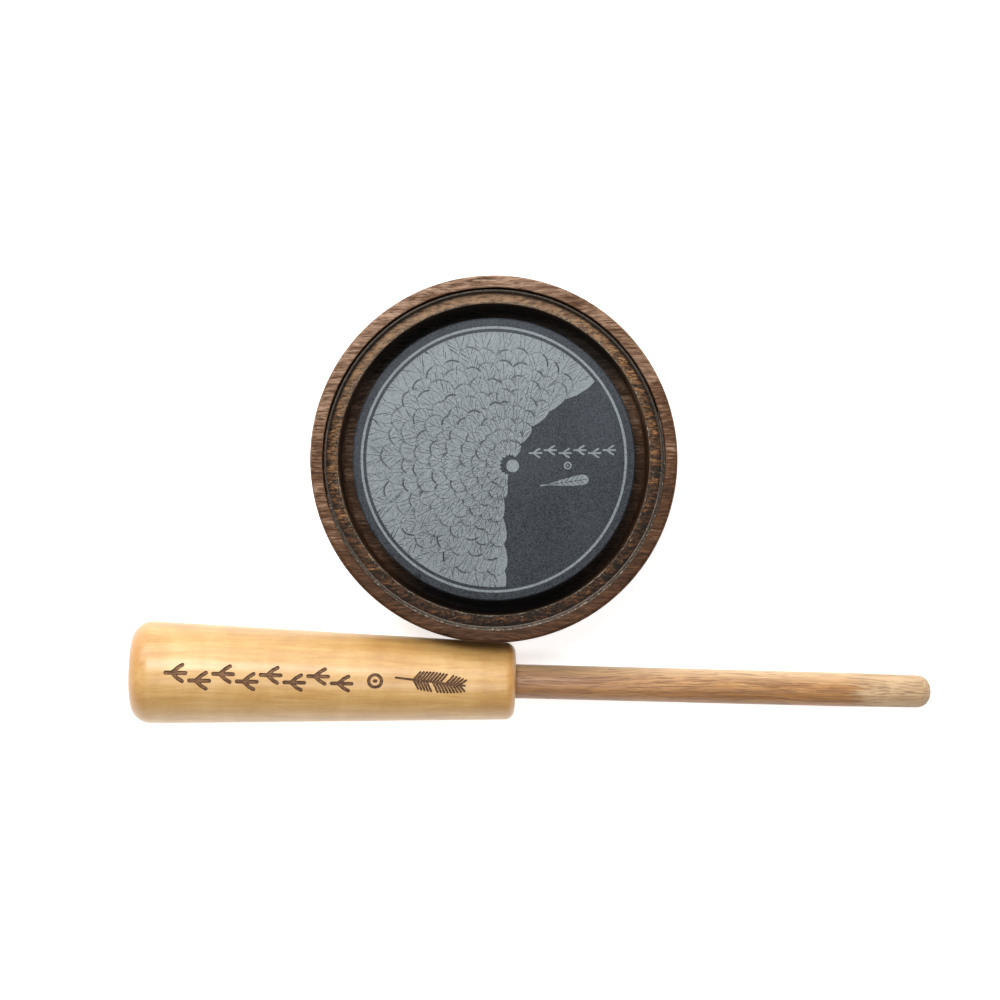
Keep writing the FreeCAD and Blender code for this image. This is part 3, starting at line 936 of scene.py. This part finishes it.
def handle(wood, burnt, burnt_wall):
    """The tapered handle with its rounded ends, open bore and burnt-in marks, lying along X from its back."""
    back, front = 6.0, 90.6     # the marked side lies between these, and a turned end beyond each
    around, lengths = HANDLE_SEGMENTS, 46
    flat_radius = 11.0          # the side is laid out flat as if it had this radius all along
    width = TAU * flat_radius
    outlines, edges = [], []
    for i in range(lengths):
        low, high = (back + (front - back) * k / lengths for k in (i, i + 1))
        row = [(low, -width / 2 + width * k / around) for k in range(around + 1)]
        outlines.append(row + [(high, y) for x, y in row[::-1]])
        first = 2 * (around + 1) * i
        edges += [(first + k, first + 2 * around + 1 - k) for k in range(1, around)]
    marks = handle_marks()
    for outer, inner in marks:
        outlines += [outer, inner]
    points, faces, covers = overlay(outlines, edges)
    floors = {lengths + 2 * i + 1 for i in range(len(marks))}
    deep = {i for face, cover in zip(faces, covers) if floors & cover for i in face}
    bm = bmesh.new()
    verts = []
    for i, p in enumerate(points):
        radius = HANDLE_BACK_RADIUS - TAPER * p.x - (MARK_DEPTH if i in deep else 0.0)
        verts.append(bm.verts.new(Vector(about_x(radius, p.x, -p.y / flat_radius)) * MM))
    for face, cover in zip(faces, covers):
        made = bm.faces.new([verts[i] for i in face])
        made.material_index = 1 if floors & cover else 2 * int(any(i >= lengths for i in cover))
    for profile in handle_ends(back, front):
        lathe_faces(bm, profile, around, lambda r, x, a: about_x(r, x, a + math.pi))
    bmesh.ops.remove_doubles(bm, verts=bm.verts, dist=SMALLEST * MM)
    piece = as_piece("striker_grip", bm, [wood, burnt, burnt_wall], sharp=30)
    piece.data.transform(striker_place())
    check_box(piece, "striker_handle")
    mounted(piece, "striker", "striker_handle")


def handle_ends(back, front):
    """The profiles of both ends, from the tapered side inwards: the closed back, then the bored front."""
    def end(at, inwards, radius):
        corners = [(inwards, HANDLE_BACK_RADIUS - TAPER * inwards, 0),
                   (at, HANDLE_BACK_RADIUS - TAPER * at, radius), (at, BORE_RADIUS + 0.6, 0)]
        return [(r, x) for x, r in rounded(corners, 14)]

    closed = end(0.0, back, 5.0) + [(2.5, 0.0), (0, 0.0)]
    opened = end(HANDLE_LENGTH, front, 2.4)
    opened += [(BORE_RADIUS + 0.22, HANDLE_LENGTH), (BORE_RADIUS, HANDLE_LENGTH - 0.22),
               (BORE_RADIUS, BORE_START), (0, BORE_START - 2.5)]
    return closed, opened


def peg(wood):
    """The round peg, its bare end sanded thinner and domed for playing."""
    start = BORE_START + 0.5
    tip = rounded([(STRIKER_LENGTH - PEG_TIP_LENGTH, PEG_RADIUS, 0), (STRIKER_LENGTH, PEG_TIP_RADIUS, 3.3),
                   (STRIKER_LENGTH, 0, 0)], 16)
    profile = [(0, start), (PEG_RADIUS - 0.5, start), (PEG_RADIUS, start + 0.5)] + [(r, x) for x, r in tip]
    bm = bmesh.new()
    lathe_faces(bm, divided(profile, 3.0), PEG_SEGMENTS, about_x)
    piece = as_piece("striker_dowel", bm, [wood])
    piece.data.transform(striker_place())
    check_box(piece, "striker_peg")
    mounted(piece, "striker", "striker_peg")


# ---- surroundings ----

def floor():
    """A plain pale floor."""
    bpy.ops.mesh.primitive_plane_add(size=8, location=(0, 0, 0))
    plane = bpy.context.object
    plane.name = "floor"
    tree = Tree("floor_paper")
    tree.set(Base_Color=(0.8, 0.8, 0.8, 1), Roughness=0.9, Specular_IOR_Level=0.1,
             Emission_Color=(1, 1, 1, 1), Emission_Strength=0.68)
    plane.data.materials.append(tree.material)


def lamp(name, at, size, watts, colour=(1, 1, 1)):
    """A soft lamp, width by depth in metres, at a point, turned to the pot."""
    data = bpy.data.lights.new(name, "AREA")
    data.shape = "ELLIPSE"
    data.size, data.size_y = size
    data.energy = watts
    data.color = colour
    light = bpy.data.objects.new(name, data)
    bpy.context.scene.collection.objects.link(light)
    light.location = at
    light.rotation_euler = (-Vector(at)).to_track_quat("-Z", "Y").to_euler()
    light.visible_camera = False


def surroundings():
    """White walls, brightest behind, under a dark ceiling, with two lamps behind and a weak one in front.

    The camera itself sees plain white behind the floor.
    """
    world = bpy.data.worlds.new("studio")
    bpy.context.scene.world = world
    world.use_nodes = True
    nodes, links = world.node_tree.nodes, world.node_tree.links
    direction = nodes.new("ShaderNodeSeparateXYZ")
    links.new(nodes.new("ShaderNodeTexCoord").outputs["Generated"], direction.inputs[0])
    walls = nodes.new("ShaderNodeMath")
    walls.operation = "MULTIPLY"
    by_height, by_depth = (0.62, 0.84, 0.46, 0.02), (-1.0, 1.0, 0.30, 2.30)
    for socket, axis, values in zip(walls.inputs, (2, 1), (by_height, by_depth)):
        fade = nodes.new("ShaderNodeMapRange")
        links.new(direction.outputs[axis], fade.inputs["Value"])
        for key, value in zip(("From Min", "From Max", "To Min", "To Max"), values):
            fade.inputs[key].default_value = value
        links.new(fade.outputs[0], socket)
    backdrop = nodes.new("ShaderNodeMix")
    rays = nodes.new("ShaderNodeLightPath")
    links.new(rays.outputs["Is Camera Ray"], backdrop.inputs[0])
    links.new(walls.outputs[0], backdrop.inputs[2])
    backdrop.inputs[3].default_value = 1.0
    links.new(backdrop.outputs[0], nodes["Background"].inputs["Strength"])
    nodes["Background"].inputs["Color"].default_value = (1, 1, 1, 1)
    lamp("key", (-0.085, 0.245, 0.73), (0.28, 0.28), 4.0, (1.0, 0.99, 0.97))
    lamp("back", (-0.30, 0.52, 0.42), (0.80, 0.26), 3.1)
    lamp("fill", (0.04, -0.24, 0.74), (0.20, 0.20), 1.3)
    bpy.context.scene.view_settings.view_transform = "Standard"
    bpy.context.scene.view_settings.look = "None"


def camera():
    """Straight above, square to the table, with the striker's tip to the right. Its place is in metres."""
    data = bpy.data.cameras.new("camera")
    data.lens = 85
    data.sensor_width = 36
    data.clip_end = 20
    view = bpy.data.objects.new("camera", data)
    view.location = (0.0015, -0.0099, 0.592)
    bpy.context.scene.collection.objects.link(view)
    bpy.context.scene.camera = view


def dress(node, material):
    """A better material for a CAD node that stays as it is."""
    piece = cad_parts[node]
    piece.data.materials.clear()
    piece.data.materials.append(material)


camera()
floor()
surroundings()
oiled = walnut("walnut_oiled")
glue = adhesive()
pot_body(oiled, ledge_wood(), walnut("walnut_painted_shade", shaded_cavity=True))
playing_surface(clear_glass(), ground_glass())
glue_bead(glue)
sound_board(slate("slate", (0.0370, 0.0412, 0.0510), 0.42, 0.90),
            slate("slate_etched", (0.228, 0.247, 0.266), 0.85, 0.42))
handle(maple(),
       burnt_maple("maple_burnt", (0.075, 0.030, 0.011), (0.145, 0.064, 0.025), (0.26, 0.130, 0.052)),
       burnt_maple("maple_charred", (0.028, 0.010, 0.004), (0.055, 0.021, 0.008), (0.105, 0.042, 0.015)))
peg(hickory())
dress("pedestal", oiled)
dress("pedestal_adhesive", glue)
dress("sound_board_adhesive", glue)
dress("peg_adhesive", glue)
